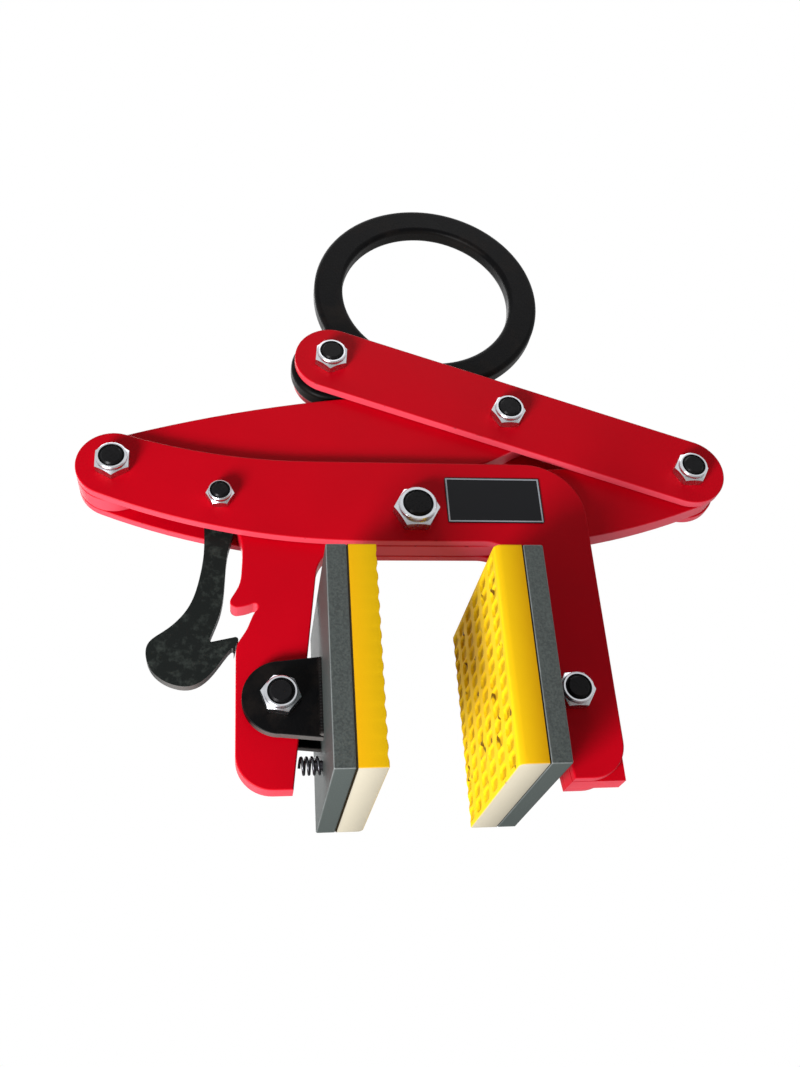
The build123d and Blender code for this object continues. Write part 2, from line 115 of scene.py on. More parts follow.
def sprayedRedEnamel(look):
    material, tree, shader = newMaterial(
        "sprayed red enamel on cut steel plate", {"IOR": 1.5, "Specular IOR Level": look["specular"]}
    )
    place, facing, flat = surfaceParts(tree)
    blotch = addNode(
        tree, "ShaderNodeTexNoise", {},
        {"Vector": place, "Scale": perMetre(look["blotchMm"]), "Detail": 3.0},
    )
    paint = addNode(
        tree, "ShaderNodeMix", {"data_type": "RGBA"},
        {0: blotch.outputs["Fac"], 6: fromHex(look["deep"]), 7: fromHex(look["paint"])},
    ).outputs[2]
    # the plates lie across Y, so the facing along Y is 1 on a face, 0 on a cut wall and between on a rim
    face, wallFace = look["wallFacing"]
    wallShare = addNode(
        tree, "ShaderNodeMapRange", {},
        {"Value": flat["Y"], "From Min": face, "From Max": wallFace, "To Max": look["wallShare"]},
    ).outputs[0]
    # painted light: walls that face down get a pale pink, as if lit from below
    level, down = look["underFacing"]
    underShare = addNode(
        tree, "ShaderNodeMapRange", {}, {"Value": facing["Z"], "From Min": level, "From Max": down}
    ).outputs[0]
    wall = addNode(
        tree, "ShaderNodeMix", {"data_type": "RGBA"},
        {0: underShare, 6: fromHex(look["wall"]), 7: fromHex(look["under"])},
    ).outputs[2]
    thinWallsAndLitUnderside = addNode(
        tree, "ShaderNodeMix", {"data_type": "RGBA"}, {0: wallShare, 6: paint, 7: wall}
    ).outputs[2]
    away = addNode(tree, "ShaderNodeMath", {"operation": "SUBTRACT"}, {0: 1.0, 1: flat["Y"]})
    rim = addNode(
        tree, "ShaderNodeMath", {"operation": "MULTIPLY"}, {0: flat["Y"], 1: away.outputs[0]}
    ).outputs[0]
    chips = addNode(
        tree, "ShaderNodeTexNoise", {},
        {"Vector": place, "Scale": perMetre(look["chipMm"]), "Detail": 4.0},
    )
    whole, bare = look["chipNoise"]
    chipped = addNode(
        tree, "ShaderNodeMapRange", {},
        {"Value": chips.outputs["Fac"], "From Min": whole, "From Max": bare, "To Max": look["chipShare"]},
    ).outputs[0]
    chipShare = addNode(
        tree, "ShaderNodeMath", {"operation": "MULTIPLY", "use_clamp": True}, {0: chipped, 1: rim}
    ).outputs[0]
    color = addNode(
        tree, "ShaderNodeMix", {"data_type": "RGBA"}, {0: chipShare, 6: thinWallsAndLitUnderside, 7: fromHex(look["chip"])}
    ).outputs[2]
    shiny, dull = look["rough"]
    rough = addNode(
        tree, "ShaderNodeMapRange", {},
        {"Value": blotch.outputs["Fac"], "From Min": noiseLow, "From Max": noiseHigh,
         "To Min": shiny, "To Max": dull},
    ).outputs[0]
    peel = addNode(
        tree, "ShaderNodeTexNoise", {},
        {"Vector": place, "Scale": perMetre(look["peelMm"]), "Detail": 2.0},
    ).outputs["Fac"]
    bump = addNode(
        tree, "ShaderNodeBump", {}, {"Height": peel, "Strength": look["peelBump"], "Distance": bumpDepth}
    ).outputs[0]
    tree.links.new(color, shader.inputs["Base Color"])
    tree.links.new(rough, shader.inputs["Roughness"])
    tree.links.new(bump, shader.inputs["Normal"])
    return material


# Satin black paint on forged and cut steel: soot black, rubbed brown where hooks and hands have worn it;
# walls that face down are painted grey as a painted highlight from below
blackPaintLook = {
    # the grey for walls that face down is a painted highlight from light below
    "paint": "#050506", "rubbed": "#1E1916", "under": "#6E6C6A",
    "rubMm": 34.0, "grainMm": 1.6, "grainBump": 0.12, "rough": (0.34, 0.52), "specular": 0.06,
    "rubNoise": (0.5, 0.72), "rubShare": 0.7, "underFacing": (-0.6, -0.95), "underShare": 0.7,
}
# the ring's bore is as black as its face: its walls that face down get no painted highlight
ringPaintLook = {**blackPaintLook, "under": "#141312"}
# the latch hook is handled most: its paint is worn grey in small patches
latchPaintLook = {**blackPaintLook, "paint": "#161918", "rubbed": "#343936", "rubMm": 7.0, "rubShare": 0.9}


def rubbedBlackPaint(name, look):
    material, tree, shader = newMaterial(name, {"IOR": 1.5, "Specular IOR Level": look["specular"]})
    place, facing, _ = surfaceParts(tree)
    rub = addNode(
        tree, "ShaderNodeTexNoise", {},
        {"Vector": place, "Scale": perMetre(look["rubMm"]), "Detail": 6.0, "Roughness": 0.65},
    ).outputs["Fac"]
    whole, worn = look["rubNoise"]
    rubbed = addNode(
        tree, "ShaderNodeMapRange", {},
        {"Value": rub, "From Min": whole, "From Max": worn, "To Max": look["rubShare"]},
    ).outputs[0]
    painted = addNode(
        tree, "ShaderNodeMix", {"data_type": "RGBA"},
        {0: rubbed, 6: fromHex(look["paint"]), 7: fromHex(look["rubbed"])},
    ).outputs[2]
    level, down = look["underFacing"]
    underShare = addNode(  # painted highlight: walls that face down are turned grey, as if lit from below
        tree, "ShaderNodeMapRange", {},
        {"Value": facing["Z"], "From Min": level, "From Max": down, "To Max": look["underShare"]},
    ).outputs[0]
    color = addNode(
        tree, "ShaderNodeMix", {"data_type": "RGBA"}, {0: underShare, 6: painted, 7: fromHex(look["under"])}
    ).outputs[2]
    grain = addNode(
        tree, "ShaderNodeTexNoise", {}, {"Vector": place, "Scale": perMetre(look["grainMm"]), "Detail": 3.0}
    ).outputs["Fac"]
    shiny, dull = look["rough"]
    rough = addNode(
        tree, "ShaderNodeMapRange", {},
        {"Value": rub, "From Min": noiseLow, "From Max": noiseHigh, "To Min": shiny, "To Max": dull},
    ).outputs[0]
    bump = addNode(
        tree, "ShaderNodeBump", {}, {"Height": grain, "Strength": look["grainBump"], "Distance": bumpDepth}
    ).outputs[0]
    tree.links.new(color, shader.inputs["Base Color"])
    tree.links.new(rough, shader.inputs["Roughness"])
    tree.links.new(bump, shader.inputs["Normal"])
    return material


# Hot-rolled plate under thin grey primer: dull, speckled, bright where the rims are knocked bare; the sawn
# end that faces down is painted lighter grey as painted light from below
greyPlateLook = {
    # the lighter grey of the sawn end facing down is painted light from below
    "primer": "#2B3231", "speck": "#3F4644", "dark": "#202524", "bare": "#8C9090", "sawnLitBelow": "#5A615F",
    "speckMm": 1.3, "stainMm": 28.0, "speckNoise": (0.35, 0.68), "speckBump": 0.2, "rough": (0.5, 0.68),
    "rimFacing": (0.97, 0.75), "sawnLitBelowFacing": (-0.7, -0.95), "sawnLitBelowShare": 0.8,
}


def primedGreyPlate(look):
    material, tree, shader = newMaterial("grey primer on hot-rolled plate", {"IOR": 1.5})
    place, facing, flat = surfaceParts(tree)
    speck = addNode(
        tree, "ShaderNodeTexNoise", {}, {"Vector": place, "Scale": perMetre(look["speckMm"]), "Detail": 2.0}
    ).outputs["Fac"]
    stain = addNode(
        tree, "ShaderNodeTexNoise", {}, {"Vector": place, "Scale": perMetre(look["stainMm"]), "Detail": 5.0}
    ).outputs["Fac"]
    none, full = look["speckNoise"]
    speckShare = addNode(
        tree, "ShaderNodeMapRange", {}, {"Value": speck, "From Min": none, "From Max": full}
    ).outputs[0]
    ground = addNode(
        tree, "ShaderNodeMix", {"data_type": "RGBA"},
        {0: stain, 6: fromHex(look["dark"]), 7: fromHex(look["primer"])},
    ).outputs[2]
    speckled = addNode(
        tree, "ShaderNodeMix", {"data_type": "RGBA"}, {0: speckShare, 6: ground, 7: fromHex(look["speck"])}
    ).outputs[2]
    widest = flat["X"]
    for axis in ("Y", "Z"):
        widest = addNode(
            tree, "ShaderNodeMath", {"operation": "MAXIMUM"}, {0: widest, 1: flat[axis]}
        ).outputs[0]
    face, corner = look["rimFacing"]
    rim = addNode(
        tree, "ShaderNodeMapRange", {}, {"Value": widest, "From Min": face, "From Max": corner}
    ).outputs[0]
    bareShare = addNode(tree, "ShaderNodeMath", {"operation": "MULTIPLY"}, {0: rim, 1: stain}).outputs[0]
    # painted light: the sawn end that faces down turns lighter grey, as if lit from below
    level, down = look["sawnLitBelowFacing"]
    sawnLitBelowShare = addNode(
        tree, "ShaderNodeMapRange", {},
        {"Value": facing["Z"], "From Min": level, "From Max": down, "To Max": look["sawnLitBelowShare"]},
    ).outputs[0]
    sawnLitBelow = addNode(
        tree, "ShaderNodeMix", {"data_type": "RGBA"}, {0: sawnLitBelowShare, 6: speckled, 7: fromHex(look["sawnLitBelow"])}
    ).outputs[2]
    color = addNode(
        tree, "ShaderNodeMix", {"data_type": "RGBA"}, {0: bareShare, 6: sawnLitBelow, 7: fromHex(look["bare"])}
    ).outputs[2]
    shiny, dull = look["rough"]
    rough = addNode(
        tree, "ShaderNodeMapRange", {},
        {"Value": speck, "From Min": noiseLow, "From Max": noiseHigh, "To Min": shiny, "To Max": dull},
    ).outputs[0]
    bump = addNode(
        tree, "ShaderNodeBump", {}, {"Height": speck, "Strength": look["speckBump"], "Distance": bumpDepth}
    ).outputs[0]
    tree.links.new(color, shader.inputs["Base Color"])
    tree.links.new(rough, shader.inputs["Roughness"])
    tree.links.new(bump, shader.inputs["Normal"])
    return material


# Cast polyurethane: lemon on the gripping face, amber on its smooth sides, paler where it was sawn and paler
# still there as painted light from below, olive stone dust and painted shade in the pockets and a few rust
# spots on the gripping face
padLook = {
    # the pale bottom-end colour is partly sawn urethane, partly painted light from below
    "grip": "#EAC818", "gripWarm": "#E0BA10", "side": "#D6AE0A", "sideWarm": "#CE9A06", "sawnLitBelow": "#B4AFA2",
    # the olive pocket colour is stone dust together with painted shade in the recesses
    "dustAndShade": "#96700E", "rust": "#45210A", "glue": "#2A2214",
    "cloudMm": 40.0, "dustAndShadeMm": 18.0, "rustMm": 11.0, "glueMm": 1.0, "sawnLitBelowMm": 0.6,
    "pocketMm": (0.5, 2.0), "dustAndShadeNoise": (0.34, 0.7), "dustAndShadeShare": (0.4, 0.95), "dustBump": 0.12,
    "rustNoise": (0.68, 0.74), "rustShare": 0.9, "gripFacing": (0.85, 0.5), "rough": (0.65, 0.85),
    "specular": 0.08,
}


def castYellowPad(look, low, high):
    material, tree, shader = newMaterial(
        "cast yellow polyurethane", {"IOR": 1.48, "Specular IOR Level": look["specular"]}
    )
    place, _, flat = surfaceParts(tree)
    cloud = addNode(
        tree, "ShaderNodeTexNoise", {},
        {"Vector": place, "Scale": perMetre(look["cloudMm"]), "Detail": 4.0},
    ).outputs["Fac"]
    spot = addNode(tree, "ShaderNodeSeparateXYZ", {}, {0: place})
    depth = addNode(tree, "ShaderNodeMath", {"operation": "ABSOLUTE"}, {0: spot.outputs["X"]}).outputs[0]
    grip = addNode(
        tree, "ShaderNodeMix", {"data_type": "RGBA"},
        {0: cloud, 6: fromHex(look["gripWarm"]), 7: fromHex(look["grip"])},
    ).outputs[2]
    behind = addNode(  # the sides turn warmer towards the backing plate
        tree, "ShaderNodeMapRange", {}, {"Value": depth, "From Min": low[0], "From Max": high[0]}
    ).outputs[0]
    side = addNode(
        tree, "ShaderNodeMix", {"data_type": "RGBA"},
        {0: behind, 6: fromHex(look["side"]), 7: fromHex(look["sideWarm"])},
    ).outputs[2]
    sideFace, gripFace = look["gripFacing"]
    onGrip = addNode(
        tree, "ShaderNodeMapRange", {}, {"Value": flat["Y"], "From Min": sideFace, "From Max": gripFace}
    ).outputs[0]
    cast = addNode(tree, "ShaderNodeMix", {"data_type": "RGBA"}, {0: onGrip, 6: side, 7: grip}).outputs[2]
    shallow, bottom = (low[0] + mm / 1000 for mm in look["pocketMm"])
    inPocket = addNode(  # 0 on the face, 1 at the bottom of the deepest pockets
        tree, "ShaderNodeMapRange", {}, {"Value": depth, "From Min": shallow, "From Max": bottom}
    ).outputs[0]
    inPocket = addNode(  # and 0 again on the sides, which reach further back
        tree, "ShaderNodeMath", {"operation": "MULTIPLY"}, {0: inPocket, 1: onGrip}
    ).outputs[0]
    # dust and painted shade: the pockets are darkened olive where this noise is high
    dustAndShade = addNode(
        tree, "ShaderNodeTexNoise", {},
        {"Vector": place, "Scale": perMetre(look["dustAndShadeMm"]), "Detail": 5.0, "Roughness": 0.6},
    ).outputs["Fac"]
    (clean, dusted), (least, most) = look["dustAndShadeNoise"], look["dustAndShadeShare"]
    dustAndShadeShare = addNode(
        tree, "ShaderNodeMapRange", {},
        {"Value": dustAndShade, "From Min": clean, "From Max": dusted, "To Min": least, "To Max": most},
    ).outputs[0]
    dustAndShadeShare = addNode(
        tree, "ShaderNodeMath", {"operation": "MULTIPLY"}, {0: dustAndShadeShare, 1: inPocket}
    ).outputs[0]
    dustedAndShaded = addNode(
        tree, "ShaderNodeMix", {"data_type": "RGBA"}, {0: dustAndShadeShare, 6: cast, 7: fromHex(look["dustAndShade"])}
    ).outputs[2]
    rust = addNode(
        tree, "ShaderNodeTexNoise", {},
        {"Vector": place, "Scale": perMetre(look["rustMm"]), "Detail": 1.0},
    ).outputs["Fac"]
    clean, rusted = look["rustNoise"]
    rustShare = addNode(
        tree, "ShaderNodeMapRange", {},
        {"Value": rust, "From Min": clean, "From Max": rusted, "To Max": look["rustShare"]},
    ).outputs[0]
    rustShare = addNode(
        tree, "ShaderNodeMath", {"operation": "MULTIPLY"}, {0: rustShare, 1: onGrip}
    ).outputs[0]
    rusty = addNode(
        tree, "ShaderNodeMix", {"data_type": "RGBA"}, {0: rustShare, 6: dustedAndShaded, 7: fromHex(look["rust"])}
    ).outputs[2]
    sawnLitBelowShare = addNode(  # the bottom end only, not the pockets' upper walls; its pale colour is partly the sawn cut, partly painted light from below
        tree, "ShaderNodeMapRange", {},
        {"Value": spot.outputs["Z"], "From Min": low[2] + look["sawnLitBelowMm"] / 1000, "From Max": low[2]},
    ).outputs[0]
    sawnLitBelow = addNode(
        tree, "ShaderNodeMix", {"data_type": "RGBA"}, {0: sawnLitBelowShare, 6: rusty, 7: fromHex(look["sawnLitBelow"])}
    ).outputs[2]
    glueLine = high[0] - look["glueMm"] / 1000
    glueShare = addNode(  # the dark joint between pad and backing plate
        tree, "ShaderNodeMath", {"operation": "GREATER_THAN"}, {0: depth, 1: glueLine}
    ).outputs[0]
    color = addNode(
        tree, "ShaderNodeMix", {"data_type": "RGBA"}, {0: glueShare, 6: sawnLitBelow, 7: fromHex(look["glue"])}
    ).outputs[2]
    shiny, dull = look["rough"]
    rough = addNode(
        tree, "ShaderNodeMapRange", {},
        {"Value": dustAndShade, "From Min": noiseLow, "From Max": noiseHigh, "To Min": shiny, "To Max": dull},
    ).outputs[0]
    bump = addNode(
        tree, "ShaderNodeBump", {}, {"Height": dustAndShade, "Strength": look["dustBump"], "Distance": bumpDepth}
    ).outputs[0]
    tree.links.new(color, shader.inputs["Base Color"])
    tree.links.new(rough, shader.inputs["Roughness"])
    tree.links.new(bump, shader.inputs["Normal"])
    return material


# Bright zinc plate: cool silver, faintly clouded
zincLook = {"bright": "#DADCE0", "dull": "#A9ACB2", "cloudMm": 7.0, "rough": (0.34, 0.2)}


def brightZincPlate(look):
    material, tree, shader = newMaterial("bright zinc plate", {"Metallic": 1.0})
    place = addNode(tree, "ShaderNodeTexCoord", {}, {}).outputs["Object"]
    cloud = addNode(
        tree, "ShaderNodeTexNoise", {}, {"Vector": place, "Scale": perMetre(look["cloudMm"]), "Detail": 4.0}
    ).outputs["Fac"]
    color = addNode(
        tree, "ShaderNodeMix", {"data_type": "RGBA"},
        {0: cloud, 6: fromHex(look["dull"]), 7: fromHex(look["bright"])},
    ).outputs[2]
    dull, shiny = look["rough"]
    rough = addNode(
        tree, "ShaderNodeMapRange", {},
        {"Value": cloud, "From Min": noiseLow, "From Max": noiseHigh, "To Min": dull, "To Max": shiny},
    ).outputs[0]
    tree.links.new(color, shader.inputs["Base Color"])
    tree.links.new(rough, shader.inputs["Roughness"])
    return material


# Dark metal and plastic of small parts: one fine grain over a plain colour
smallPartLooks = {
    "black oxide bolt steel": {
        "color": "#0B0B0C", "light": "#18181A", "grainMm": 2.0, "rough": (0.22, 0.36),
        "metal": 0.2, "specular": 0.1,
    },
    "moulded black nylon": {
        "color": "#060708", "light": "#101113", "grainMm": 1.2, "rough": (0.26, 0.4),
        "metal": 0.0, "specular": 0.06,
    },
    "oiled spring wire": {
        "color": "#3C3C40", "light": "#6C6C72", "grainMm": 1.5, "rough": (0.28, 0.42),
        "metal": 1.0, "specular": 0.2,
    },
}


def grainedSmallPart(name, look):
    material, tree, shader = newMaterial(
        name, {"Metallic": look["metal"], "Specular IOR Level": look["specular"]}
    )
    place = addNode(tree, "ShaderNodeTexCoord", {}, {}).outputs["Object"]
    grain = addNode(
        tree, "ShaderNodeTexNoise", {}, {"Vector": place, "Scale": perMetre(look["grainMm"]), "Detail": 3.0}
    ).outputs["Fac"]
    color = addNode(
        tree, "ShaderNodeMix", {"data_type": "RGBA"},
        {0: grain, 6: fromHex(look["color"]), 7: fromHex(look["light"])},
    ).outputs[2]
    shiny, dull = look["rough"]
    rough = addNode(
        tree, "ShaderNodeMapRange", {},
        {"Value": grain, "From Min": noiseLow, "From Max": noiseHigh, "To Min": shiny, "To Max": dull},
    ).outputs[0]
    tree.links.new(color, shader.inputs["Base Color"])
    tree.links.new(rough, shader.inputs["Roughness"])
    return material


# Black anodised aluminium: near black and even, blank, with a bare silver line round it
ratingLook = {
    "anodised": "#07080C", "bare": "#8E9298", "rimMm": 1.1, "insetMm": 0.7, "brushMm": 0.6,
    "rough": (0.34, 0.46), "metal": 0.3, "specular": 0.2,
}


def anodisedRatingPlate(look, low, high):
    material, tree, shader = newMaterial(
        "black anodised aluminium, bare rim",
        {"Metallic": look["metal"], "Specular IOR Level": look["specular"]},
    )
    place = addNode(tree, "ShaderNodeTexCoord", {}, {}).outputs["Object"]
    parts = addNode(tree, "ShaderNodeSeparateXYZ", {}, {0: place})
    inside = None
    for axis in ("X", "Z"):  # distance to the nearer side, along the plate's width and height
        i = "XYZ".index(axis)
        centre, half = (low[i] + high[i]) / 2, (high[i] - low[i]) / 2
        offset = addNode(
            tree, "ShaderNodeMath", {"operation": "SUBTRACT"}, {0: parts.outputs[axis], 1: centre}
        ).outputs[0]
        offset = addNode(tree, "ShaderNodeMath", {"operation": "ABSOLUTE"}, {0: offset}).outputs[0]
        room = addNode(tree, "ShaderNodeMath", {"operation": "SUBTRACT"}, {0: half, 1: offset}).outputs[0]
        if inside is not None:
            room = addNode(
                tree, "ShaderNodeMath", {"operation": "MINIMUM"}, {0: inside, 1: room}
            ).outputs[0]
        inside = room
    middle = (look["insetMm"] + look["rimMm"] / 2) / 1000
    onRim = addNode(
        tree, "ShaderNodeMath", {"operation": "COMPARE"}, {0: inside, 1: middle, 2: look["rimMm"] / 2000}
    ).outputs[0]
    brush = addNode(
        tree, "ShaderNodeTexNoise", {}, {"Vector": place, "Scale": perMetre(look["brushMm"]), "Detail": 2.0}
    ).outputs["Fac"]
    color = addNode(
        tree, "ShaderNodeMix", {"data_type": "RGBA"},
        {0: onRim, 6: fromHex(look["anodised"]), 7: fromHex(look["bare"])},
    ).outputs[2]
    shiny, dull = look["rough"]
    rough = addNode(
        tree, "ShaderNodeMapRange", {},
        {"Value": brush, "From Min": noiseLow, "From Max": noiseHigh, "To Min": shiny, "To Max": dull},
    ).outputs[0]
    tree.links.new(color, shader.inputs["Base Color"])
    tree.links.new(rough, shader.inputs["Roughness"])
    return material


finishes = {
    "red_enamel": sprayedRedEnamel(redEnamelLook),
    "black_enamel": rubbedBlackPaint("satin black paint on steel", blackPaintLook),
    "grey_plate": primedGreyPlate(greyPlateLook),
    "yellow_pad": castYellowPad(padLook, *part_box("right_pad")),
    "black_label": anodisedRatingPlate(ratingLook, *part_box("rating_plate")),
    "spring_steel": grainedSmallPart("oiled spring wire", smallPartLooks["oiled spring wire"]),
    "zinc_nut": brightZincPlate(zincLook),
    "black_bolt": grainedSmallPart("black oxide bolt steel", smallPartLooks["black oxide bolt steel"]),
    "nylon_insert": grainedSmallPart("moulded black nylon", smallPartLooks["moulded black nylon"]),
}
for part in frame["record"]["subparts"]:
    frame["nodes"][part["node"]].material_slots[0].material = finishes[part["material_slot"]]
ownPaints = {
    "lifting_ring": rubbedBlackPaint("black paint on forged steel", ringPaintLook),
    "latch_hook": rubbedBlackPaint("worn black paint on steel", latchPaintLook),
}
for node, paint in ownPaints.items():
    frame["nodes"][node].material_slots[0].material = paint
print("finishes:", len(finishes))


def newTree(name, inputs):  # a Geometry Nodes tree with named inputs, and each input's identifier
    tree = bpy.data.node_groups.new(name, "GeometryNodeTree")
    tree.interface.new_socket("Geometry", in_out="INPUT", socket_type="NodeSocketGeometry")
    tree.interface.new_socket("Geometry", in_out="OUTPUT", socket_type="NodeSocketGeometry")
    marks = {}
    for label, kind in inputs.items():
        marks[label] = tree.interface.new_socket(label, in_out="INPUT", socket_type=kind).identifier
    return tree, marks, addNode(tree, "NodeGroupInput", {}, {}).outputs


def grow(piece, tree, marks, values, rimEase=0.0):  # runs a tree on a piece and keeps a plain mesh
    modifier = piece.modifiers.new(tree.name, "NODES")
    modifier.node_group = tree
    for label, value in values.items():
        modifier[marks[label]] = value
    if rimEase:
        ease = piece.modifiers.new("eased rims", "BEVEL")
        ease.width, ease.segments = rimEase, 2
        ease.angle_limit = math.radians(80)  # only square corners are eased
    evaluated = piece.evaluated_get(bpy.context.evaluated_depsgraph_get())
    mesh = bpy.data.meshes.new_from_object(evaluated)
    piece.modifiers.clear()
    piece.data = mesh


def newPiece(name, mesh):
    piece = bpy.data.objects.new(name, mesh)
    scene.collection.objects.link(piece)
    return piece


# Gripping pads: cast slabs whose gripping face is a waffle of rounded pockets, some worn shallow. One long
# edge is cast round, the other is cut through the pockets. The left pad is the right one turned half round
padForm = {
    "columns": 6, "rows": 14, "marginCast": 0.004, "marginCut": -0.005, "marginEnd": 0.003,
    "pocketShare": (0.56, 0.6), "pocketRound": 0.0025, "wallRun": 0.0013, "pocketDeep": 0.0022,
    "wornShare": 0.35, "castRound": 0.005, "stepsY": 161, "stepsZ": 137, "rimEase": 0.0009, "seed": 7,
    "sharpFrom": 28.0,  # degrees: the round edge shades smooth, the eased rims don't
}


def waffleTree():
    tree, marks, given = newTree("waffle pad", {
        "Size": "NodeSocketVector", "Centre": "NodeSocketVector", "Facing": "NodeSocketVector",
        "Steps Y": "NodeSocketInt", "Steps Z": "NodeSocketInt", "Field Low": "NodeSocketVector",
        "Pitch": "NodeSocketVector", "First": "NodeSocketVector", "Last": "NodeSocketVector",
        "Core": "NodeSocketVector", "Round": "NodeSocketFloat", "Wall": "NodeSocketFloat",
        "Deep": "NodeSocketFloat", "Worn": "NodeSocketFloat", "Seed": "NodeSocketInt",
        "Cast Way": "NodeSocketVector", "Cast Round": "NodeSocketFloat", "Round Start": "NodeSocketFloat",
        "Round End": "NodeSocketFloat", "Finish": "NodeSocketMaterial",
    })
    block = addNode(
        tree, "GeometryNodeMeshCube", {},
        {"Size": given["Size"], "Vertices X": 2, "Vertices Y": given["Steps Y"],
         "Vertices Z": given["Steps Z"]},
    ).outputs["Mesh"]
    slab = addNode(
        tree, "GeometryNodeTransform", {}, {"Geometry": block, "Translation": given["Centre"]}
    ).outputs[0]
    spot = addNode(tree, "GeometryNodeInputPosition", {}, {}).outputs[0]
    cell, zero = spot, (0.0, 0.0, 0.0)
    for step, other in (
        ("SUBTRACT", given["Field Low"]), ("DIVIDE", given["Pitch"]), ("FLOOR", zero),
        ("MAXIMUM", zero), ("MINIMUM", given["Last"]),
    ):  # column and row of the pocket nearest to a point
        cell = addNode(tree, "ShaderNodeVectorMath", {"operation": step}, {0: cell, 1: other}).outputs[0]
    middle = addNode(
        tree, "ShaderNodeVectorMath", {"operation": "MULTIPLY_ADD"},
        {0: cell, 1: given["Pitch"], 2: given["First"]},
    ).outputs[0]
    away = spot
    for step, other in (
        ("SUBTRACT", middle), ("ABSOLUTE", zero), ("SUBTRACT", given["Core"]), ("MAXIMUM", zero),
    ):  # how far a point lies outside the pocket's core, along each side
        away = addNode(tree, "ShaderNodeVectorMath", {"operation": step}, {0: away, 1: other}).outputs[0]
    reach = addNode(tree, "ShaderNodeVectorMath", {"operation": "LENGTH"}, {0: away}).outputs["Value"]
    count = addNode(  # each pocket's own number, column by column
        tree, "ShaderNodeVectorMath", {"operation": "DOT_PRODUCT"}, {0: cell, 1: (0.0, 1.0, 64.0)}
    )
    least = addNode(tree, "ShaderNodeMath", {"operation": "MULTIPLY"}, {0: given["Deep"], 1: given["Worn"]})
    deep = addNode(
        tree, "FunctionNodeRandomValue", {"data_type": "FLOAT"},
        {2: least.outputs[0], 3: given["Deep"], "ID": count.outputs["Value"], "Seed": given["Seed"]},
    ).outputs[1]
    rim = addNode(tree, "ShaderNodeMath", {"operation": "ADD"}, {0: given["Round"], 1: given["Wall"]})
    sink = addNode(
        tree, "ShaderNodeMapRange", {"interpolation_type": "SMOOTHSTEP"},
        {"Value": reach, "From Min": rim.outputs[0], "From Max": given["Round"], "To Max": deep},
    ).outputs[0]
    offset = addNode(
        tree, "ShaderNodeVectorMath", {"operation": "SUBTRACT"}, {0: spot, 1: given["Centre"]}
    ).outputs[0]
    toCast = addNode(
        tree, "ShaderNodeVectorMath", {"operation": "DOT_PRODUCT"}, {0: offset, 1: given["Cast Way"]}
    ).outputs["Value"]
    turn = addNode(  # 0 where the cast edge's round starts, 1 at the edge
        tree, "ShaderNodeMapRange", {},
        {"Value": toCast, "From Min": given["Round Start"], "From Max": given["Round End"]},
    ).outputs[0]
    square = addNode(tree, "ShaderNodeMath", {"operation": "MULTIPLY"}, {0: turn, 1: turn}).outputs[0]
    level = addNode(tree, "ShaderNodeMath", {"operation": "SUBTRACT"}, {0: 1.0, 1: square}).outputs[0]
    level = addNode(tree, "ShaderNodeMath", {"operation": "SQRT"}, {0: level}).outputs[0]
    fall = addNode(tree, "ShaderNodeMath", {"operation": "SUBTRACT"}, {0: 1.0, 1: level}).outputs[0]
    sunk = addNode(
        tree, "ShaderNodeMath", {"operation": "MULTIPLY_ADD"}, {0: fall, 1: given["Cast Round"], 2: sink}
    ).outputs[0]
    inward = addNode(tree, "ShaderNodeMath", {"operation": "MULTIPLY"}, {0: sunk, 1: -1.0}).outputs[0]
    push = addNode(
        tree, "ShaderNodeVectorMath", {"operation": "SCALE"}, {0: given["Facing"], "Scale": inward}
    ).outputs[0]
    side = addNode(
        tree, "ShaderNodeVectorMath", {"operation": "DOT_PRODUCT"}, {0: offset, 1: given["Facing"]}
    ).outputs["Value"]
    onGrip = addNode(tree, "ShaderNodeMath", {"operation": "GREATER_THAN"}, {0: side, 1: 0.0}).outputs[0]
    waffle = addNode(
        tree, "GeometryNodeSetPosition", {}, {"Geometry": slab, "Selection": onGrip, "Offset": push}
    ).outputs[0]
    solid = addNode(tree, "GeometryNodeRealizeInstances", {}, {"Geometry": waffle}).outputs[0]
    done = addNode(
        tree, "GeometryNodeSetMaterial", {}, {"Geometry": solid, "Material": given["Finish"]}
    ).outputs[0]
    addNode(tree, "NodeGroupOutput", {}, {"Geometry": done})
    return tree, marks


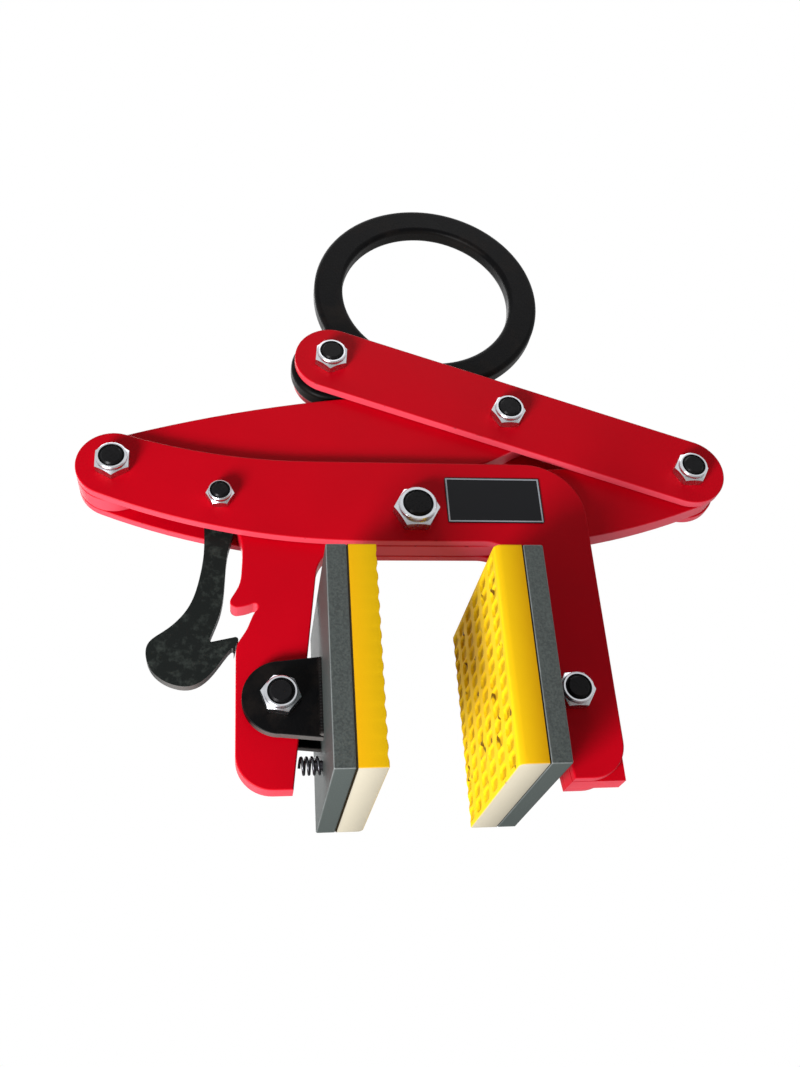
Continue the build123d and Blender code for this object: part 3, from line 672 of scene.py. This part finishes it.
def makePads(form):
    tree, marks = waffleTree()
    for side, facing in (("left", 1.0), ("right", -1.0)):
        low, high = (Vector(corner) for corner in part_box(f"{side}_pad"))
        front, rear = form["marginCast"], form["marginCut"]
        if side == "left":
            front, rear = rear, front
        # the field is 2 m wide along X, so that every point lies in its one cell there
        fieldLow = Vector((-1.0, low.y + front, low.z + form["marginEnd"]))
        fieldHigh = Vector((1.0, high.y - rear, high.z - form["marginEnd"]))
        halfDeep = (high.y - low.y) / 2
        pitch = Vector((
            2.0, (fieldHigh.y - fieldLow.y) / form["columns"], (fieldHigh.z - fieldLow.z) / form["rows"],
        ))
        halves = [step * share / 2 for step, share in zip((pitch.y, pitch.z), form["pocketShare"])]
        core = Vector((1.0, *(half - form["pocketRound"] for half in halves)))
        pad = newPiece(f"{side}_pad_cleated", bpy.data.meshes.new(f"{side} pad"))
        grow(pad, tree, marks, {
            "Size": high - low, "Centre": (low + high) / 2, "Facing": Vector((facing, 0.0, 0.0)),
            "Steps Y": form["stepsY"], "Steps Z": form["stepsZ"], "Field Low": fieldLow, "Pitch": pitch,
            "First": fieldLow + pitch / 2, "Last": Vector((0.0, form["columns"] - 1, form["rows"] - 1)),
            "Core": core, "Round": form["pocketRound"], "Wall": form["wallRun"],
            "Deep": form["pocketDeep"], "Worn": 1.0 - form["wornShare"], "Seed": form["seed"],
            "Cast Way": Vector((0.0, facing, 0.0)), "Cast Round": form["castRound"],
            "Round Start": halfDeep - form["castRound"], "Round End": halfDeep,
            "Finish": finishes["yellow_pad"],
        }, form["rimEase"])
        pad.data.shade_smooth()
        pad.data.set_sharp_from_angle(angle=math.radians(form["sharpFrom"]))
        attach(pad, f"{side}_jaw")
        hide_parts(f"{side}_pad")
        print(side, "pad:", len(pad.data.polygons), "faces")


makePads(padForm)


# Springs: one wire wound between the leg and the jaw plate; the real spring gives as the jaw turns, but this
# coil is built once at rest and does not move
springForm = {
    "wire": 0.002, "meanRadius": 0.0055, "turns": 4, "height": 0.026, "pointsPerTurn": 28, "wireSides": 12,
}


def coilTree():
    tree, marks, given = newTree("wound spring", {
        "Turns": "NodeSocketFloat", "Radius": "NodeSocketFloat", "Length": "NodeSocketFloat",
        "Side": "NodeSocketFloat", "Start": "NodeSocketFloat", "Height": "NodeSocketFloat",
        "Wire Radius": "NodeSocketFloat",
        "Points": "NodeSocketInt", "Wire Sides": "NodeSocketInt", "Finish": "NodeSocketMaterial",
    })
    helix = addNode(
        tree, "GeometryNodeCurveSpiral", {},
        {"Resolution": given["Points"], "Rotations": given["Turns"], "Start Radius": given["Radius"],
         "End Radius": given["Radius"], "Height": given["Length"]},
    ).outputs[0]
    spot = addNode(tree, "GeometryNodeInputPosition", {}, {}).outputs[0]
    parts = addNode(tree, "ShaderNodeSeparateXYZ", {}, {0: spot})
    reach = addNode(
        tree, "ShaderNodeMath", {"operation": "MULTIPLY_ADD"},
        {0: parts.outputs["Z"], 1: given["Side"], 2: given["Start"]},
    ).outputs[0]
    lift = addNode(
        tree, "ShaderNodeMath", {"operation": "ADD"}, {0: parts.outputs["Y"], 1: given["Height"]}
    ).outputs[0]
    along = addNode(
        tree, "ShaderNodeCombineXYZ", {}, {"X": reach, "Y": parts.outputs["X"], "Z": lift}
    ).outputs[0]
    wound = addNode(tree, "GeometryNodeSetPosition", {}, {"Geometry": helix, "Position": along}).outputs[0]
    section = addNode(
        tree, "GeometryNodeCurvePrimitiveCircle", {},
        {"Resolution": given["Wire Sides"], "Radius": given["Wire Radius"]},
    ).outputs["Curve"]
    wire = addNode(
        tree, "GeometryNodeCurveToMesh", {}, {"Curve": wound, "Profile Curve": section, "Fill Caps": True}
    ).outputs[0]
    solid = addNode(tree, "GeometryNodeRealizeInstances", {}, {"Geometry": wire}).outputs[0]
    done = addNode(
        tree, "GeometryNodeSetMaterial", {}, {"Geometry": solid, "Material": given["Finish"]}
    ).outputs[0]
    addNode(tree, "NodeGroupOutput", {}, {"Geometry": done})
    return tree, marks


def makeSprings(form):
    tree, marks = coilTree()
    for side, way, arm in (("left", -1.0, "inner_arm"), ("right", 1.0, "outer_arm")):
        low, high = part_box(f"{side}_spring")
        wireRadius = form["wire"] / 2
        near, far = (high[0], low[0]) if way < 0 else (low[0], high[0])
        spring = newPiece(f"{side}_spring_coil", bpy.data.meshes.new(f"{side} spring"))
        grow(spring, tree, marks, {
            "Turns": float(form["turns"]), "Radius": form["meanRadius"],
            "Length": abs(far - near) - 2 * wireRadius, "Side": way, "Start": near + way * wireRadius,
            "Height": form["height"], "Wire Radius": wireRadius, "Points": form["pointsPerTurn"],
            "Wire Sides": form["wireSides"], "Finish": finishes["spring_steel"],
        })
        spring.data.shade_smooth()
        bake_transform(spring)
        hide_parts(f"{side}_spring")
        print(side, "spring:", len(spring.data.polygons), "faces")


makeSprings(springForm)


# Weld beads where the black ears meet the jaw plates: overlapping ripples along each root
weldForm = {"ripple": 0.0021, "radius": 0.0034, "flat": 0.8, "endRoom": 0.004, "sides": 12, "rings": 8}


def weldTree():
    tree, marks, given = newTree("weld bead", {
        "Ripple": "NodeSocketFloat", "Bead": "NodeSocketVector", "Sides": "NodeSocketInt",
        "Rings": "NodeSocketInt", "Finish": "NodeSocketMaterial",
    })
    runs = addNode(tree, "GeometryNodeMeshToCurve", {}, {"Mesh": given["Geometry"]}).outputs[0]
    steps = addNode(
        tree, "GeometryNodeCurveToPoints", {"mode": "LENGTH"}, {"Curve": runs, "Length": given["Ripple"]}
    ).outputs["Points"]
    drop = addNode(
        tree, "GeometryNodeMeshUVSphere", {},
        {"Segments": given["Sides"], "Rings": given["Rings"], "Radius": 1.0},
    ).outputs["Mesh"]
    ripples = addNode(
        tree, "GeometryNodeInstanceOnPoints", {},
        {"Points": steps, "Instance": drop, "Scale": given["Bead"]},
    ).outputs[0]
    solid = addNode(tree, "GeometryNodeRealizeInstances", {}, {"Geometry": ripples}).outputs[0]
    smooth = addNode(tree, "GeometryNodeSetShadeSmooth", {}, {"Geometry": solid}).outputs[0]
    done = addNode(
        tree, "GeometryNodeSetMaterial", {}, {"Geometry": smooth, "Material": given["Finish"]}
    ).outputs[0]
    addNode(tree, "NodeGroupOutput", {}, {"Geometry": done})
    return tree, marks


def makeWelds(form):
    tree, marks = weldTree()
    roots = {  # each root's ear, and the ear's side that the bead runs along
        "left": (("left_jaw_lug_front", -1), ("left_jaw_lug_rear", 1)),
        "right": (("right_jaw_lug", -1), ("right_jaw_lug", 1)),
    }
    for side, ears in roots.items():
        plateLow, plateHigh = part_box(f"{side}_jaw_plate")
        backX = plateLow[0] if side == "left" else plateHigh[0]
        points, edges = [], []
        for ear, outward in ears:
            low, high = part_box(ear)
            y = low[1] if outward < 0 else high[1]
            edges.append((len(points), len(points) + 1))
            points += [(backX, y, low[2] + form["endRoom"]), (backX, y, high[2] - form["endRoom"])]
        mesh = bpy.data.meshes.new(f"{side} weld")
        mesh.from_pydata(points, edges, [])
        weld = newPiece(f"{side}_jaw_welds", mesh)
        bead = (form["radius"], form["radius"], form["radius"] * form["flat"])
        grow(weld, tree, marks, {
            "Ripple": form["ripple"], "Bead": bead, "Sides": form["sides"], "Rings": form["rings"],
            "Finish": finishes["black_enamel"],
        })
        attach(weld, f"{side}_jaw")
        print(side, "welds:", len(weld.data.polygons), "faces")


makeWelds(weldForm)


# Floor: pale from above and fading out into the room, but clear from below, where the camera looks up past it
floorForm = {"size": 8.0, "drop": 0.0004, "color": "#F1F0EE", "fadeStart": 0.8, "fadeEnd": 2.2}


def makeFloor(form):
    half = form["size"] / 2
    mesh = bpy.data.meshes.new("floor")
    corners = [(-half, -half), (half, -half), (half, half), (-half, half)]
    mesh.from_pydata([(x, y, -form["drop"]) for x, y in corners], [], [(0, 1, 2, 3)])
    floor = newPiece("floor", mesh)
    material = bpy.data.materials.new("pale studio floor")
    material.use_nodes = True
    tree = material.node_tree
    tree.nodes.clear()
    matt = addNode(tree, "ShaderNodeBsdfDiffuse", {}, {"Color": fromHex(form["color"])}).outputs[0]
    clear = addNode(tree, "ShaderNodeBsdfTransparent", {}, {}).outputs[0]
    below = addNode(tree, "ShaderNodeNewGeometry", {}, {}).outputs["Backfacing"]
    shadow = addNode(tree, "ShaderNodeLightPath", {}, {}).outputs["Is Shadow Ray"]
    place = addNode(tree, "ShaderNodeTexCoord", {}, {}).outputs["Object"]
    away = addNode(tree, "ShaderNodeVectorMath", {"operation": "LENGTH"}, {0: place}).outputs["Value"]
    faded = addNode(
        tree, "ShaderNodeMapRange", {"interpolation_type": "SMOOTHSTEP"},
        {"Value": away, "From Min": form["fadeStart"], "From Max": form["fadeEnd"]},
    ).outputs[0]
    seeThrough = faded
    for other in (below, shadow):
        seeThrough = addNode(
            tree, "ShaderNodeMath", {"operation": "MAXIMUM"}, {0: seeThrough, 1: other}
        ).outputs[0]
    mixed = addNode(tree, "ShaderNodeMixShader", {}, {0: seeThrough, 1: matt, 2: clear}).outputs[0]
    addNode(tree, "ShaderNodeOutputMaterial", {}, {"Surface": mixed})
    mesh.materials.append(material)


makeFloor(floorForm)


# Light: a dim pale room, a strong lamp low on the left, softer ones above, behind and on the ceiling
lightForm = {
    "room": 0.17, "seen": 1.0, "white": "#FFFFFF", "aim": (0.0, 0.0, 0.2),
    "lamps": {
        "low left lamp": {"place": (-0.95, -0.75, -0.86), "size": 0.5, "watts": 40.0},
        "high right lamp": {"place": (0.3, -0.9, 1.5), "size": 0.8, "watts": 3.0},
        "high rear lamp": {"place": (-0.4, 1.5, 1.3), "size": 1.6, "watts": 15.0},
        "ceiling lamp": {"place": (0.0, 0.3, 2.4), "size": 2.4, "watts": 26.0},
    },
}


def makeLight(form):
    world = bpy.data.worlds.new("pale room")
    scene.world = world
    world.use_nodes = True
    tree = world.node_tree
    tree.nodes.clear()
    ray = addNode(tree, "ShaderNodeLightPath", {}, {}).outputs
    seen = ray["Is Camera Ray"]
    for kind in ("Is Glossy Ray", "Is Transmission Ray"):
        seen = addNode(tree, "ShaderNodeMath", {"operation": "MAXIMUM"}, {0: seen, 1: ray[kind]}).outputs[0]
    room, white = (
        addNode(
            tree, "ShaderNodeBackground", {}, {"Color": fromHex(form["white"]), "Strength": form[strength]}
        ).outputs[0]
        for strength in ("room", "seen")
    )
    mixed = addNode(tree, "ShaderNodeMixShader", {}, {0: seen, 1: room, 2: white}).outputs[0]
    addNode(tree, "ShaderNodeOutputWorld", {}, {"Surface": mixed})
    for name, lamp in form["lamps"].items():
        data = bpy.data.lights.new(name, "AREA")
        data.energy = lamp["watts"]
        data.size = lamp["size"]
        light = bpy.data.objects.new(name, data)
        light.location = lamp["place"]
        way = Vector(form["aim"]) - Vector(lamp["place"])
        light.rotation_euler = way.to_track_quat("-Z", "Y").to_euler()
        scene.collection.objects.link(light)
    print("lamps:", len(form["lamps"]))


makeLight(lightForm)


# Camera: low in front and a little to the left, tipped up, as the photograph was taken
cameraForm = {
    "azimuth": -9.64, "elevation": -28.11, "roll": -4.19, "distance": 0.8097,
    "target": (-0.0129, -0.0165, 0.1941), "focalPixels": 1100.0, "imageWide": 800.0, "sensor": 36.0,
    "nearest": 0.01,
}


def makeCamera(form):
    azimuth, elevation, roll = (math.radians(form[key]) for key in ("azimuth", "elevation", "roll"))
    level = math.cos(elevation)
    back = Vector((math.sin(azimuth) * level, -math.cos(azimuth) * level, math.sin(elevation)))
    right = Vector((math.cos(azimuth), math.sin(azimuth), 0.0))
    up = back.cross(right)
    across = right * math.cos(roll) + up * math.sin(roll)
    upward = up * math.cos(roll) - right * math.sin(roll)
    data = bpy.data.cameras.new("camera")
    data.sensor_fit = "HORIZONTAL"
    data.sensor_width = form["sensor"]
    data.lens = form["focalPixels"] / form["imageWide"] * form["sensor"]
    data.clip_start = form["nearest"]
    camera = bpy.data.objects.new("camera", data)
    turn = Matrix((across, upward, back)).transposed().to_4x4()
    camera.matrix_world = Matrix.Translation(Vector(form["target"]) + back * form["distance"]) @ turn
    scene.collection.objects.link(camera)
    scene.camera = camera


makeCamera(cameraForm)
